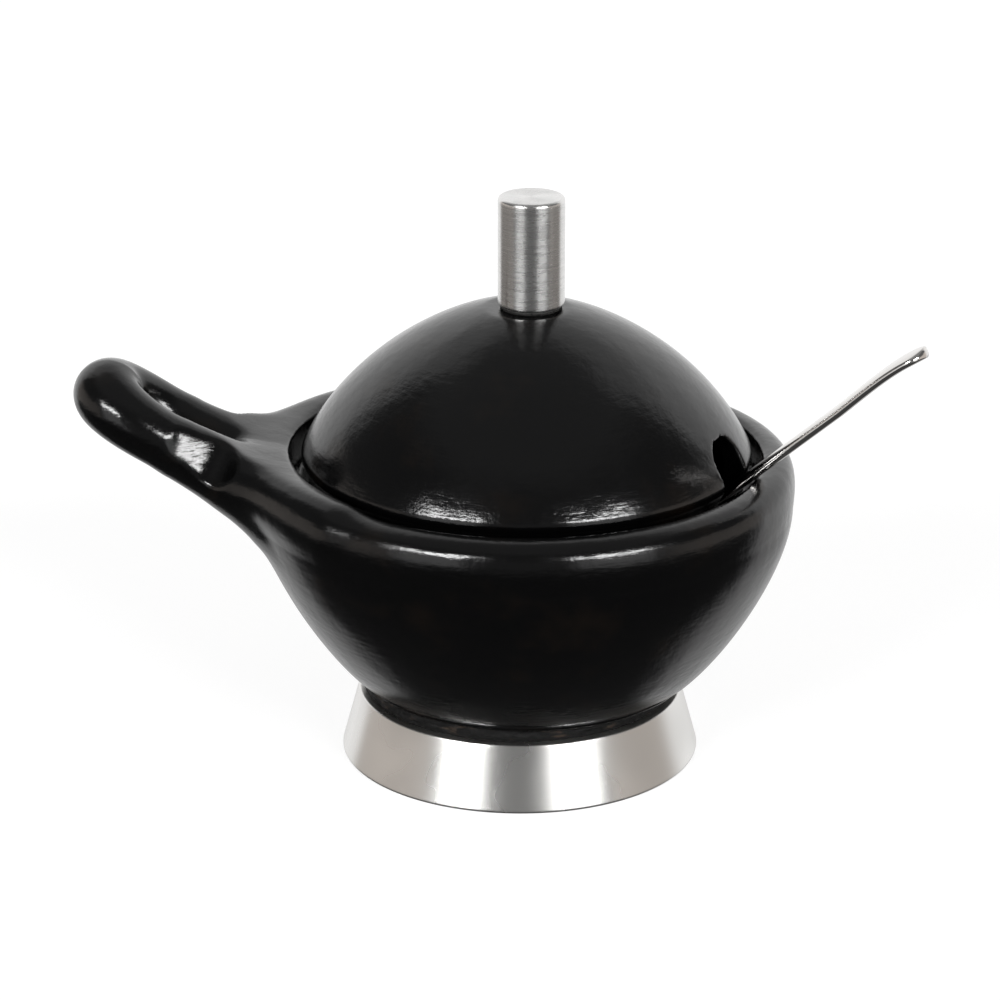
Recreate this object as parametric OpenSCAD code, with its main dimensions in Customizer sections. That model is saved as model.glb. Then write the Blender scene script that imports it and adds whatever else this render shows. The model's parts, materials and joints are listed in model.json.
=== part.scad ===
// Sugar bowl of black burnished clay with a metal foot ring, a domed lid with a
// metal knob, and a spoon that stays in the bowl through a notch in the lid.
// The origin is the centre of the foot ring on the table, +Z is up, the handle
// points along -X and the spoon leaves on the +X side, turned towards -Y.

/* [Foot ring] */
// Outer radius of the foot ring on the table
foot_r = 36.2; // [35:0.1:38]
// Outer radius of the foot ring at its top
foot_top_r = 32.6; // [32.2:0.1:33.2]
// Height of the foot ring
foot_h = 13.2; // [12:0.1:14]
// Thickness of the foot ring's wall
foot_wall = 2.2; // [1.6:0.1:2.6]

/* [Bowl] */
// How far the bowl's axis stands off the foot ring's axis, from hand setting
bowl_x = 1; // [0.5:0.1:1.2]
// Radius of the thin lip that runs round the bowl's lower edge
lip_r = 33.3; // [32.8:0.1:33.6]
// Height of the underside of that lip
base_z = 16.3; // [16:0.1:17]
// Widest radius of the bowl
belly_r = 53.5; // [52.5:0.1:54]
// Height of the widest part of the bowl
belly_z = 52.5; // [50:0.1:54]
// Radius of the crest of the rim
crest_r = 48.6; // [48:0.1:49]
// Height of the crest of the rim
crest_z = 62.7; // [62:0.1:63.5]
// Radius of the rim's inner edge
mouth_r = 46.8; // [46.2:0.1:47]
// Height of the ledge that carries the lid
ledge_z = 55.6; // [55:0.1:56]
// Inner radius of that ledge
ledge_r = 40.8; // [40.5:0.1:41.2]
// Height of the floor inside the bowl
floor_z = 21.5; // [21:0.1:22]

/* [Handle] */
// Distance from the bowl's axis to the middle of the loop's tip
handle_reach = 82.7; // [80:0.1:86]
// Height of the middle of the loop's tip
handle_tip_z = 75; // [73:0.1:77]
// Radius of the coil at the tip of the loop
handle_tip_r = 6.8; // [6:0.1:7.2]
// Radius of the coil at its narrowest, half way along the handle
handle_waist_r = 5.4; // [5:0.1:6]
// Radius of the coil where it runs into the wall
handle_root_r = 9.2; // [8.5:0.1:9.6]
// Depth of the flat that the thumb pressed into each arm
handle_flat = 0.6; // [0:0.1:1]

/* [Lid] */
// How far the lid's axis stands off the foot ring's axis
lid_x = 1.2; // [0.8:0.1:1.4]
// Widest radius of the lid
lid_r = 44.8; // [44.2:0.1:45]
// Height of the lid's widest part
lid_edge_z = 63.1; // [62.6:0.1:63.5]
// Height of the dome's top before the knob's seat is ground flat
dome_z = 93.9; // [93:0.1:95]
// Thickness of the lid's wall
lid_wall = 5; // [4:0.1:5.5]
// Height of the flat seat under the knob
knob_seat_z = 92.8; // [92.5:0.1:93]

/* [Spoon notch] */
// Width of the notch in the lid
notch_w = 11.2; // [11:0.1:12]
// Height of the top of the notch
notch_top_z = 70.7; // [69:0.1:72]
// Radius of the two upper corners of the notch
notch_corner_r = 4.6; // [3:0.1:5.5]
// Direction of the notch, turned from +X
notch_turn = -23; // [-23.5:0.5:-21]

/* [Knob] */
// How far the knob's axis stands off the foot ring's axis
knob_x = 2.1; // [1:0.1:2.2]
// Radius of the knob
knob_r = 6.6; // [6:0.1:7]
// Height of the knob's upper face
knob_top_z = 115.4; // [110:0.1:118]
// Rounding of the knob's two edges
knob_edge = 0.8; // [0.4:0.1:1.2]
// Thickness of the soft washer between the knob and the lid
cushion_t = 0.6; // [0.4:0.1:1]
// Radius of the screw's shank
screw_r = 2; // [1.5:0.1:2.2]

/* [Spoon] */
// Direction of the spoon, turned from +X
spoon_turn = -19; // [-21:0.5:-17]
// Rise of the straight part of the stem
spoon_rise = 41.5; // [41:0.5:42]
// Thickness of the stem
stem_t = 2.1; // [1.5:0.1:2.3]
// Widest part of the stem, near its end
stem_end_w = 8.4; // [7:0.2:9]
// Narrowest part of the stem, at the scoop
stem_neck_w = 3.6; // [3:0.2:4]
// Radius of the scoop's mouth
scoop_r = 12; // [11:0.5:12.5]

/* [Hidden] */

clay_colour = [0.10, 0.10, 0.10];
metal_colour = [0.78, 0.77, 0.75];
bond_colour = [0.05, 0.05, 0.05];
soft_colour = [0.30, 0.29, 0.28];

// Point at t on the cubic curve with the four control points p.
function bezier_at(p, t) =
    let (u = 1 - t)
    u * u * u * p[0] + 3 * u * u * t * p[1] + 3 * u * t * t * p[2] + t * t * t * p[3];

// Points along that curve in n steps, without its first point.
function bezier(p, n) = [for (i = [1 : n]) bezier_at(p, i / n)];

// Points along an arc from angle a0 to a1 in n steps.
function arc(centre, r, a0, a1, n) =
    [for (i = [0 : n]) let (a = a0 + (a1 - a0) * i / n) centre + r * [cos(a), sin(a)]];

// Closed skin over rings of points that all have the same count.
module skin(rings) {
    n = len(rings[0]);
    m = len(rings);
    sides = [for (j = [0 : m - 2], i = [0 : n - 1])
        [j * n + i, (j + 1) * n + i, (j + 1) * n + (i + 1) % n, j * n + (i + 1) % n]];
    ends = [[for (i = [0 : n - 1]) i], [for (i = [0 : n - 1]) m * n - 1 - i]];
    polyhedron(points = [for (ring = rings) each ring], faces = concat(sides, ends), convexity = 6);
}

// ---- Bowl -------------------------------------------------------------------

// Clay foot that sits inside the metal ring.
clay_foot_r = 28.8;
clay_foot_in_r = 24;
clay_foot_z = 8;
underside_z = 15.4;
bowl_steps = 12;

// The lip's lower corner, its top, and the point where the wall starts above it.
lip_low = [lip_r - 0.7, base_z];
lip_top = [lip_r - 0.35, base_z + 1.6];
wall_point = [lip_r + 2.2, base_z + 2.25];
belly_point = [belly_r, belly_z];
crest_point = [crest_r, crest_z];
mouth_point = [mouth_r, crest_z - 1.3];
// Rounding of the rim from its crest to its inner edge.
rim_inside = [crest_point, crest_point - [0.8, 0], mouth_point + [0, 0.7], mouth_point];

bowl_outline = concat(
    [[0, underside_z], [clay_foot_in_r - 1, underside_z], [clay_foot_in_r, clay_foot_z],
     [clay_foot_r, clay_foot_z], [clay_foot_r, base_z], lip_low],
    bezier([lip_low, [lip_r + 0.15, base_z], [lip_r + 0.25, base_z + 0.7], lip_top], 5),
    bezier([lip_top, lip_top + [-0.25, 0.4], lip_top + [1.05, 0.3], wall_point], 4),
    bezier([wall_point, wall_point + [7.6, 7.55], belly_point - [0, 9.1], belly_point], bowl_steps),
    bezier([belly_point, belly_point + [0.5, 5.2], crest_point + [5.8, 0], crest_point], bowl_steps),
    bezier(rim_inside, 4),
    [[0, crest_z - 1.3]]);

// Widest radius of the hollow, and the height where the wall turns in under the ledge.
hollow_r = 46.6;
hollow_z = 45;
ledge_t = 3;

hollow_outline = concat(
    [[0, floor_z]],
    bezier([[0, floor_z], [28, floor_z], [hollow_r, floor_z + 14], [hollow_r, hollow_z]], bowl_steps),
    bezier([[hollow_r, hollow_z], [hollow_r, hollow_z + 5], [ledge_r + 3, ledge_z - ledge_t - 0.6],
            [ledge_r, ledge_z - ledge_t]], 8),
    [[ledge_r, ledge_z], [mouth_r - 0.8, ledge_z], [mouth_r, ledge_z + 0.8],
     [mouth_r, crest_z + 8], [0, crest_z + 8]]);

// Centre lines of one side of the handle, in order from root to end. The other side
// is their mirror image. The loop and its two roots meet at the waist.
waist = [-67.7, -7.3, 65.6];
waist_lean = [-0.859, -0.098, 0.502];
low_root_line = [[-49, -10.6, 57], [-56.5, -9.3, 60.4], waist - 9.7 * waist_lean, waist];
rim_root_line = [[-36.8, -33.1, 58.3], [-46.2, -22.7, 60.2], waist - 12 * waist_lean, waist];
loop_line = [waist, waist + 12.1 * waist_lean, [-handle_reach, -4.7, handle_tip_z],
             [-handle_reach, 0, handle_tip_z]];
coil_steps = 8;
coil_sides = 20;

// The flat that the thumb pressed into the outer side of each arm.
flat_facing = [0.273, -0.853, 0.444];
flat_x = waist[0];
flat_length = 6.5;

// Direction of a centre line at t.
function line_direction(line, t) =
    let (d = bezier_at(line, min(t + 0.01, 1)) - bezier_at(line, max(t - 0.01, 0)))
    d / norm(d);

// Radius in direction v of a coil of radius r, at the point c of its centre line. It is
// less where the flat is, and a side stays clear of the plane between the two sides.
function coil_radius(r, v, c) =
    let (facing = v * flat_facing,
         depth = handle_flat * exp(-pow((c[0] - flat_x) / flat_length, 4)),
         pressed = facing > 0.3 ? min(r, (r - depth) / facing) : r)
    v[1] > 0.01 ? min(pressed, (-c[1] - 0.3) / v[1]) : pressed;

// Ring of points round a coil at t. The ring's first axis lies level.
function coil_ring(line, t, r) =
    let (c = bezier_at(line, t),
         d = t >= 1 && line == loop_line ? [0, 1, 0] : line_direction(line, t),
         level = cross([0, 0, 1], d) / norm(cross([0, 0, 1], d)),
         up = cross(d, level))
    [for (i = [0 : coil_sides - 1])
        let (a = 360 * i / coil_sides, v = cos(a) * level + sin(a) * up)
        c + coil_radius(r, v, c) * v];

// Rings along a whole centre line, its radius going from r0 to r1.
function coil_rings(line, r0, r1, first = 0) =
    [for (i = [first : coil_steps])
        coil_ring(line, i / coil_steps, r0 + (r1 - r0) * i / coil_steps)];

module handle_side() {
    skin(concat(coil_rings(low_root_line, handle_root_r, handle_waist_r),
                coil_rings(loop_line, handle_waist_r, handle_tip_r, 1)));
    skin(coil_rings(rim_root_line, 4.5, handle_waist_r - 0.4));
}

// Clay that fills the space between the two sides of the handle.
module handle_web() {
    hull()
        for (side = [-1, 1]) {
            translate([-55.1, side * 9, 60.2]) sphere(4.8, $fn = 24);
            translate([-45.9, side * 9, 56.2]) sphere(4.8, $fn = 24);
        }
}

// Everything above this line is scraped away, so that the web runs down to the rim.
scrape_outline = concat(
    [for (r = [44, 54, 58, 62, 70, 95])
        [r, crest_z - 0.8 + 0.45 * (r - mouth_r) + 0.03 * pow(max(r - 54, 0), 2)]],
    [[44, 150]]);

module handle() {
    difference() {
        union() {
            handle_side();
            mirror([0, 1, 0]) handle_side();
            handle_web();
        }
        rotate_extrude($fn = 80) polygon(scrape_outline);
    }
}

module bowl() {
    color(clay_colour)
    translate([bowl_x, 0, 0])
    difference() {
        union() {
            rotate_extrude($fn = 80) polygon(bowl_outline);
            handle();
        }
        rotate_extrude($fn = 80) polygon(hollow_outline);
    }
}

// ---- Foot -------------------------------------------------------------------

// The foot ring's slope, as radius lost for each millimetre of height.
foot_taper = (foot_r - foot_top_r) / foot_h;
foot_edge = 0.5;
// Gap left between two glued faces that are cones, so that they stay apart.
glue_gap = 0.02;

module foot_ring() {
    color(metal_colour)
    rotate_extrude($fn = 120)
    polygon(concat(
        arc([foot_r - foot_edge, foot_edge], foot_edge, -90, 0, 4),
        arc([foot_top_r - foot_edge, foot_h - foot_edge], foot_edge, 0, 90, 4),
        [[foot_top_r - foot_wall, foot_h], [foot_r - foot_wall, 0]]));
}

// Setting compound between the clay foot, the bowl's underside and the ring. Its
// bead is centred on the ring, and the clay foot stands in it off centre.
module foot_bond() {
    bond_low_z = foot_h - 4;
    bond_r = foot_top_r - foot_wall - glue_gap;
    bead_r = foot_top_r - 0.8;
    color(bond_colour)
    difference() {
        rotate_extrude($fn = 96)
        polygon(concat(
            [[clay_foot_r - 4, bond_low_z], [bond_r, bond_low_z], [bond_r, foot_h]],
            bezier([[bond_r, foot_h], [bead_r, foot_h], [bead_r + 0.2, foot_h + 1],
                    [bead_r, base_z]], 8),
            [[clay_foot_r - 4, base_z]]));
        translate([bowl_x, 0, bond_low_z - 1]) cylinder(r = clay_foot_r, h = 10, $fn = 96);
    }
}

// ---- Lid --------------------------------------------------------------------

dome_steps = 20;
lid_skirt_r = lid_r - 1.5;
// Rounding of the lid's edge, and how far the dome leans in where it starts.
lid_edge_r = 2.6;
lid_edge_tilt = 26;
lid_edge_middle = [lid_r - lid_edge_r, lid_edge_z];
lid_edge_top = lid_edge_middle + lid_edge_r * [cos(lid_edge_tilt), sin(lid_edge_tilt)];
lid_seat_in_z = knob_seat_z - 5.6;
screw_hole_r = screw_r + 0.5;

lid_outline = concat(
    [[0, dome_z]],
    bezier([[0, dome_z], [15.6, dome_z],
            lid_edge_top - 19.3 * [sin(lid_edge_tilt), -cos(lid_edge_tilt)], lid_edge_top], dome_steps),
    arc(lid_edge_middle, lid_edge_r, lid_edge_tilt - 11, -38, 5),
    [[lid_skirt_r, lid_edge_z - 4], [lid_skirt_r, ledge_z + 0.5], [lid_skirt_r - 0.5, ledge_z],
     [0, ledge_z]]);

lid_hollow_outline = concat(
    [[0, dome_z - lid_wall]],
    bezier([[0, dome_z - lid_wall], [17, dome_z - lid_wall],
            [lid_r - lid_wall, lid_edge_z + 8], [lid_r - lid_wall, lid_edge_z]], dome_steps),
    [[lid_r - lid_wall, ledge_z - 1], [0, ledge_z - 1]]);

// Outline of the notch, seen along the spoon: a doorway with rounded corners.
notch_outline = concat(
    [[-notch_w / 2, ledge_z - 2], [notch_w / 2, ledge_z - 2]],
    arc([notch_w / 2 - notch_corner_r, notch_top_z - notch_corner_r], notch_corner_r, 0, 90, 8),
    arc([-notch_w / 2 + notch_corner_r, notch_top_z - notch_corner_r], notch_corner_r, 90, 180, 8));

module lid() {
    color(clay_colour)
    difference() {
        translate([lid_x, 0, 0]) rotate_extrude($fn = 96) polygon(lid_outline);
        translate([lid_x, 0, 0]) rotate_extrude($fn = 96) polygon(lid_hollow_outline);
        translate([lid_x, 0, 0])
            rotate([0, 0, notch_turn])
            translate([lid_r / 2, 0, 0])
            rotate([90, 0, 90])
            linear_extrude(lid_r) polygon(notch_outline);
        translate([knob_x, 0, knob_seat_z]) cylinder(r = knob_r + 4, h = 5, $fn = 64);
        translate([knob_x, 0, lid_seat_in_z - 5]) cylinder(r = 8.5, h = 5, $fn = 64);
        translate([knob_x, 0, lid_seat_in_z - 1]) cylinder(r = screw_hole_r, h = 10, $fn = 48);
    }
}

// ---- Knob and its fixing ----------------------------------------------------

knob_low_z = knob_seat_z + cushion_t;
thread_gap = 0.05;
screw_length = 15;
washer_t = 1;
screw_seat_z = lid_seat_in_z - washer_t;
screw_end_z = screw_seat_z + screw_length;
washer_hole_r = screw_r + 0.2;

module knob() {
    color(metal_colour)
    translate([knob_x, 0, 0])
    difference() {
        rotate_extrude($fn = 96)
            polygon(concat(
                [[0, knob_low_z]],
                arc([knob_r - knob_edge, knob_low_z + knob_edge], knob_edge, -90, 0, 6),
                arc([knob_r - knob_edge, knob_top_z - knob_edge], knob_edge, 0, 90, 6),
                [[0, knob_top_z]]));
        translate([0, 0, knob_low_z - 1])
            cylinder(r = screw_r + thread_gap, h = screw_end_z - knob_low_z + 2.5, $fn = 48);
    }
}

module washer(r, hole_r, low_z, t) {
    translate([knob_x, 0, low_z])
    difference() {
        cylinder(r = r, h = t, $fn = 64);
        translate([0, 0, -1]) cylinder(r = hole_r, h = t + 2, $fn = 48);
    }
}

module knob_cushion() {
    color(soft_colour) washer(knob_r - 0.5, washer_hole_r, knob_seat_z, cushion_t);
}

module knob_washer() {
    color(metal_colour) washer(6, washer_hole_r, screw_seat_z, washer_t);
}

// Cross-head screw that comes up from inside the lid.
module knob_screw() {
    head_r = 3.8;
    head_h = 2.4;
    slot_w = 1;
    slot_depth = 1.4;
    color(metal_colour)
    translate([knob_x, 0, 0])
    difference() {
        union() {
            translate([0, 0, screw_seat_z - 0.5]) cylinder(r = screw_r, h = screw_length + 0.5, $fn = 48);
            rotate_extrude($fn = 48)
                polygon(concat(
                    [[0, screw_seat_z], [0, screw_seat_z - head_h]],
                    arc([head_r - 1, screw_seat_z - head_h + 1], 1, -90, 0, 5),
                    [[head_r, screw_seat_z]]));
        }
        for (turn = [0, 90])
            translate([0, 0, screw_seat_z - head_h - 1])
            rotate([0, 0, turn])
            translate([-2, -slot_w / 2, 0])
            cube([4, slot_w, slot_depth + 1]);
    }
}

// ---- Spoon ------------------------------------------------------------------

// The spoon is drawn in an upright plane through the bowl's axis: first the
// distance out from the axis, then the height. It rests on the rim's inner
// rounding, which it clears by rest_gap.
stem_lean = [cos(spoon_rise), sin(spoon_rise)];
rest_gap = 0.12;
stem_rest = bezier_at(rim_inside, 0.5) + [0, rest_gap + stem_t / 2 / cos(spoon_rise)];

// The scoop is a round shell cut from a sphere.
scoop_sphere_r = 15;
scoop_t = 1.2;
scoop_tilt = 24;
scoop_along = [cos(scoop_tilt), sin(scoop_tilt)];
scoop_normal = [-sin(scoop_tilt), cos(scoop_tilt)];
scoop_sink = sqrt(scoop_sphere_r * scoop_sphere_r - scoop_r * scoop_r);
floor_gap = 0.4;
scoop_mouth_z = floor_z + floor_gap + scoop_sphere_r - scoop_sink * cos(scoop_tilt);
// The scoop's back edge lies on the straight line of the stem.
back_edge_z = scoop_mouth_z + scoop_r * sin(scoop_tilt);
back_edge_s = stem_rest[0] - (stem_rest[1] - back_edge_z) / tan(spoon_rise);
scoop_mouth = [back_edge_s, back_edge_z] - scoop_r * scoop_along;

neck_start = scoop_mouth + (scoop_r - 0.5) * scoop_along - 0.5 * scoop_normal;
neck_end = stem_rest - 36 * stem_lean;
bend_start = stem_rest + 22.4 * stem_lean;
stem_tip = stem_rest + [33.3, 28.4];
tip_rise = 25;
stem_line = concat(
    [neck_start],
    bezier([neck_start, neck_start + 3 * scoop_along, neck_end - 4 * stem_lean, neck_end], 6),
    [for (i = [1 : 6]) neck_end + (bend_start - neck_end) * i / 6],
    bezier([bend_start, bend_start + 8 * [cos(43.5), sin(43.5)],
            stem_tip - 6 * [cos(tip_rise), sin(tip_rise)], stem_tip], 14));

// Share of the stem's length at which it starts to widen towards its end.
widen_from = 0.35;
tip_round = 0.95;

// Width of the stem at the share f of its length, with a rounded end.
function stem_width(f) =
    let (grow = max(0, (f - widen_from) / (1 - widen_from)),
         w = stem_neck_w + (stem_end_w - stem_neck_w) * pow(grow, 1.3),
         e = max(0, (f - tip_round) / (1 - tip_round)))
    w * max(0.35, sqrt(1 - e * e));

// Rounded oblong section, w wide and stem_t thick.
function stem_section(w) =
    [for (i = [0 : 15])
        let (a = 22.5 * i, c = cos(a), s = sin(a))
        [w / 2 * sign(c) * pow(abs(c), 0.5), stem_t / 2 * sign(s) * pow(abs(s), 0.7)]];

function stem_ring(j) =
    let (n = len(stem_line) - 1,
         here = stem_line[j],
         d = stem_line[min(j + 1, n)] - stem_line[max(j - 1, 0)],
         across = [-d[1], d[0]] / norm(d))
    [for (q = stem_section(stem_width(j / n)))
        [here[0] + q[1] * across[0], q[0], here[1] + q[1] * across[1]]];

module scoop() {
    mouth_angle = asin(scoop_r / scoop_sphere_r);
    inner_r = scoop_sphere_r - scoop_t;
    rotate_extrude($fn = 72)
        polygon(concat(
            arc([0, 0], scoop_sphere_r, -90, mouth_angle - 90, 12),
            arc([0, 0], inner_r, mouth_angle - 90, -90, 12)));
}

module spoon() {
    centre = scoop_mouth + scoop_sink * scoop_normal;
    color(metal_colour)
    translate([bowl_x, 0, 0])
    rotate([0, 0, spoon_turn])
    union() {
        skin([for (j = [0 : len(stem_line) - 1]) stem_ring(j)]);
        translate([centre[0], 0, centre[1]]) rotate([0, -scoop_tilt, 0]) scoop();
    }
}

bowl();
lid();
knob();
knob_cushion();
knob_washer();
knob_screw();
foot_ring();
foot_bond();
spoon();
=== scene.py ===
"""Looks of the black clay sugar bowl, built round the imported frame.

Shapes are worked out in millimetres, in the frame's own axes, and turned into
metres when a mesh is made. The clay pieces are smooth implicit surfaces, so that
handle, web and bowl flow into each other as hand-built clay does.
"""
import json
import math

import bpy
import numpy as np
import openvdb
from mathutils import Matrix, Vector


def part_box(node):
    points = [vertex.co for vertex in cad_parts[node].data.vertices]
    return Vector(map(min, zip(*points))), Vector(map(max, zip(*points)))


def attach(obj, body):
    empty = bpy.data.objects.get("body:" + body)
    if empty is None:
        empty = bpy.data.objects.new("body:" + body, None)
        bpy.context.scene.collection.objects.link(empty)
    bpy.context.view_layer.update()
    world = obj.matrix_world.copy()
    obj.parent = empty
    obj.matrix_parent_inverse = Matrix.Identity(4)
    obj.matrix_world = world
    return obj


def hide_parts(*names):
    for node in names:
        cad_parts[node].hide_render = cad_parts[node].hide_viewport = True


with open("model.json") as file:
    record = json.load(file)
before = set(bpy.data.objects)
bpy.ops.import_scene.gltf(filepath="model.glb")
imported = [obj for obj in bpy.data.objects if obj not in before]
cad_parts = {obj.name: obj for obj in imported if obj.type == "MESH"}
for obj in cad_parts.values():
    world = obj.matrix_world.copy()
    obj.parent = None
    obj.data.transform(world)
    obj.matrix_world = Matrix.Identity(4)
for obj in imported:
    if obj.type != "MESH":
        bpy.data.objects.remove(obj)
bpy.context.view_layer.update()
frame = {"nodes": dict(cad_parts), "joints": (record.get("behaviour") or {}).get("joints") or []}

MM = 0.001


# ---- Sizes taken from the frame ----------------------------------------------

def box_mm(node):
    """Lowest and highest corners of a CAD node, in millimetres."""
    low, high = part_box(node)
    return np.array(low) / MM, np.array(high) / MM


def joint_axis(name):
    """Direction of a joint of the frame."""
    return np.array(next(j["axis"] for j in frame["joints"] if j["name"] == name))


RING_HIGH = box_mm("foot_ring")[1]
BOND_LOW, BOND_HIGH = box_mm("foot_bond")
BOWL_LOW, BOWL_HIGH = box_mm("bowl")
LID_LOW, LID_HIGH = box_mm("lid")
KNOB_LOW, KNOB_HIGH = box_mm("knob")
CUSHION_LOW, CUSHION_HIGH = box_mm("knob_cushion")

FOOT_R = RING_HIGH[1]
FOOT_H = RING_HIGH[2]
FOOT_TAPER = 3.6
FOOT_TOP_R = FOOT_R - FOOT_TAPER
FOOT_WALL = 2.2

BELLY_R = 53.5
BOWL_X = BOWL_HIGH[0] - BOWL_HIGH[1]
CLAY_FOOT_Z = BOWL_LOW[2]
CLAY_FOOT_R = 28.8
LIP_R = 33.3
BASE_Z = BOND_HIGH[2]
LEDGE_Z = LID_LOW[2]
LEDGE_W = 6
RIM_H = 7.1
RIM_TUCK = 4.9
RIM_INSIDE_W = 1.8
CREST_Z = LEDGE_Z + RIM_H
CREST_R = BELLY_R - RIM_TUCK
MOUTH_R = CREST_R - RIM_INSIDE_W
MOUTH_Z = CREST_Z - 1.3
LEDGE_R = MOUTH_R - LEDGE_W
FLOOR_Z = 21.5

LID_R = LID_HIGH[1]
LID_X = LID_LOW[0] + LID_R
LID_EDGE_Z = CREST_Z + 0.4
LID_EDGE_R = 2.6
LID_EDGE_TILT = 26
LID_WALL = 5
SEAT_Z = CUSHION_LOW[2]
SEAT_CUT = 1.1
DOME_Z = SEAT_Z + SEAT_CUT

KNOB_R = KNOB_HIGH[1]
KNOB_X = KNOB_LOW[0] + KNOB_R
SCREW_HOLE_R = 2.5


# ---- Curves and fields -------------------------------------------------------

def curve_point(points, t):
    """Points on the cubic curve with four control points, at a column of fractions t."""
    a, b, c, d = points
    u = 1 - t
    return u**3 * a + 3 * u * u * t * b + 3 * u * t * t * c + t**3 * d


def cubic(points, steps):
    """steps + 1 points along the cubic curve with four control points."""
    return curve_point(np.array(points, float), np.linspace(0, 1, steps + 1)[:, None])


def arc(centre, radius, start, end, steps):
    """steps + 1 points along an arc between two angles in degrees."""
    a = np.radians(np.linspace(start, end, steps + 1))[:, None]
    return np.array(centre, float) + radius * np.hstack([np.cos(a), np.sin(a)])


def direction(angle):
    """Unit vector in a plane, at an angle in radians."""
    return np.array([math.cos(angle), math.sin(angle)])


def chain(*parts):
    """One outline from points and curves, without doubled points."""
    points = np.vstack([np.atleast_2d(np.array(p, float)) for p in parts])
    step = np.linalg.norm(np.diff(points, axis=0), axis=1)
    return points[np.concatenate([[True], step > 1e-6])]


class Profile:
    """Signed distance to an outline in the (radius, height) half plane, negative inside.

    The outline starts and ends on the axis. Distances are kept on a fine grid and
    read back with cubic interpolation, so that the surface comes out smooth.
    """

    STEP = 0.3
    MARGIN = 7
    CELLS_PAST_AXIS = 3

    def __init__(self, outline):
        self.r0 = -self.CELLS_PAST_AXIS * self.STEP
        self.z0 = outline[:, 1].min() - self.MARGIN
        r = np.arange(self.r0, outline[:, 0].max() + self.MARGIN, self.STEP)
        z = np.arange(self.z0, outline[:, 1].max() + self.MARGIN, self.STEP)
        rr, zz = np.meshgrid(np.maximum(np.abs(r), 1e-4), z, indexing="ij")
        p = np.stack([rr.ravel(), zz.ravel()], axis=1)
        nearest = np.full(len(p), np.inf)
        inside = np.zeros(len(p), bool)
        closed = np.vstack([outline, outline[:1]])
        for k, (a, b) in enumerate(zip(closed[:-1], closed[1:])):
            d = b - a
            if k < len(outline) - 1:
                t = np.clip(((p - a) @ d) / (d @ d), 0, 1)
                nearest = np.minimum(nearest, np.sum((p - a - t[:, None] * d) ** 2, axis=1))
            crosses = (a[1] > p[:, 1]) != (b[1] > p[:, 1])
            if abs(d[1]) > 1e-9:
                inside ^= crosses & (p[:, 0] < a[0] + d[0] * (p[:, 1] - a[1]) / d[1])
        signed = np.sqrt(nearest) * np.where(inside, -1, 1)
        self.grid = signed.reshape(rr.shape)

    def __call__(self, r, z):
        u = (r - self.r0) / self.STEP
        v = (z - self.z0) / self.STEP
        nu, nv = self.grid.shape
        u = np.clip(u, 1, nu - 3)
        v = np.clip(v, 1, nv - 3)
        i = u.astype(int)
        j = v.astype(int)
        total = 0
        weights_v = catmull_rom(v - j)
        for a, wa in enumerate(catmull_rom(u - i)):
            row = sum(wb * self.grid[i + a - 1, j + b - 1] for b, wb in enumerate(weights_v))
            total = total + wa * row
        return total


def catmull_rom(f):
    """The four weights of cubic interpolation at fraction f."""
    return (f * (-0.5 + f * (1 - 0.5 * f)), 1 + f * f * (1.5 * f - 2.5),
            f * (0.5 + f * (2 - 1.5 * f)), f * f * (0.5 * f - 0.5))


def join(a, b, blend):
    """Union of two fields with a fillet of about 2.5 times blend."""
    return -blend * np.logaddexp(-a / blend, -b / blend)


def keep_both(a, b, blend):
    """Intersection of two fields with a softened edge."""
    return blend * np.logaddexp(a / blend, b / blend)


def unevenness(p, lump, seed):
    """Smooth hand-made unevenness, mostly between -1 and 1, with lumps of the given size."""
    rng = np.random.default_rng(seed)
    total = 0
    waves = 8
    for _ in range(waves):
        wave = rng.normal(size=3)
        wave *= 2 * math.pi / (lump * rng.uniform(0.7, 1.5) * np.linalg.norm(wave))
        total = total + np.sin(p @ wave + rng.uniform(0, 2 * math.pi))
    return total * 2 / waves


def gradient(field, points):
    """Gradient of the field at each point."""
    h = 0.04
    steps = np.eye(3) * h
    return np.stack([(field(points + s) - field(points - s)) / (2 * h) for s in steps], axis=1)


def field_mesh(field, low, high, voxel):
    """Points, quads and normals of the surface where field is 0 inside a box."""
    band = 3 * voxel
    flattest = 0.05
    start = np.array(low, float) - band
    axes = [np.arange(start[k], high[k] + band + voxel, voxel) for k in range(3)]
    values = np.empty([len(a) for a in axes], np.float32)
    yy, zz = np.meshgrid(axes[1], axes[2], indexing="ij")
    for k, x in enumerate(axes[0]):
        p = np.stack([np.full(yy.size, x), yy.ravel(), zz.ravel()], axis=1)
        values[k] = field(p).reshape(yy.shape)
    grid = openvdb.FloatGrid(band)
    grid.copyFromArray(np.clip(values, -band, band))
    points, quads = grid.convertToQuads(0.0)
    points = start + points.astype(float) * voxel
    for _ in range(4):
        slope = gradient(field, points)
        steepness = np.maximum(np.sum(slope**2, axis=1), flattest)
        points -= slope * (field(points) / steepness)[:, None]
    normals = gradient(field, points)
    normals /= np.linalg.norm(normals, axis=1)[:, None]
    return points, quads, normals


# ---- Meshes ------------------------------------------------------------------

def add_piece(name, shape, material, body, replaces, normals=None):
    """A smooth mesh piece from a shape's points in millimetres and its faces.

    It rides on a body and stands for a CAD node.
    """
    points, faces = shape
    mesh = bpy.data.meshes.new(name)
    mesh.from_pydata((np.asarray(points) * MM).tolist(), [], [list(map(int, f)) for f in faces])
    mesh.update()
    mesh.shade_smooth()
    if normals is not None:
        mesh.normals_split_custom_set_from_vertices(normals.tolist())
    mesh.materials.append(material)
    piece = bpy.data.objects.new(name, mesh)
    bpy.context.scene.collection.objects.link(piece)
    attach(piece, body)
    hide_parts(replaces)


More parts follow.
